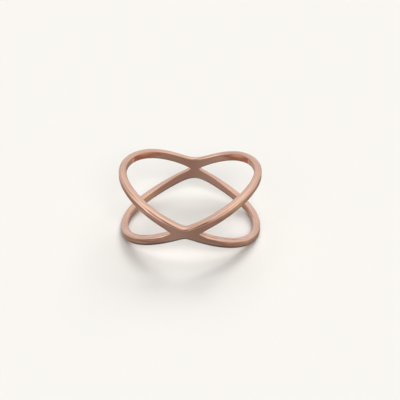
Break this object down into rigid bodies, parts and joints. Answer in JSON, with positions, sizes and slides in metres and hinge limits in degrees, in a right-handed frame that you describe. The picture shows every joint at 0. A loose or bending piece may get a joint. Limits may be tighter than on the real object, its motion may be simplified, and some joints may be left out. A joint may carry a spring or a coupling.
{
  "type": "crossover ring",
  "caption": "Slim finger ring of two flat bands that cross at the front and at the back, with an open eye between them at each side of the finger.",
  "frame": {"origin": "middle of the finger hole, on the finger axis at half the ring's height", "axes": "+Z along the finger axis, up as the ring lies; -Y towards the front crossing; +X to the right as seen from the front"},
  "size_m": [0.0192, 0.0193, 0.0096],
  "materials": {
    "rose_gold": "satin rose gold, brushed along the bands"
  },
  "bodies": {
    "root": {"crossover_band": "rose_gold"}
  },
  "joints": []
}
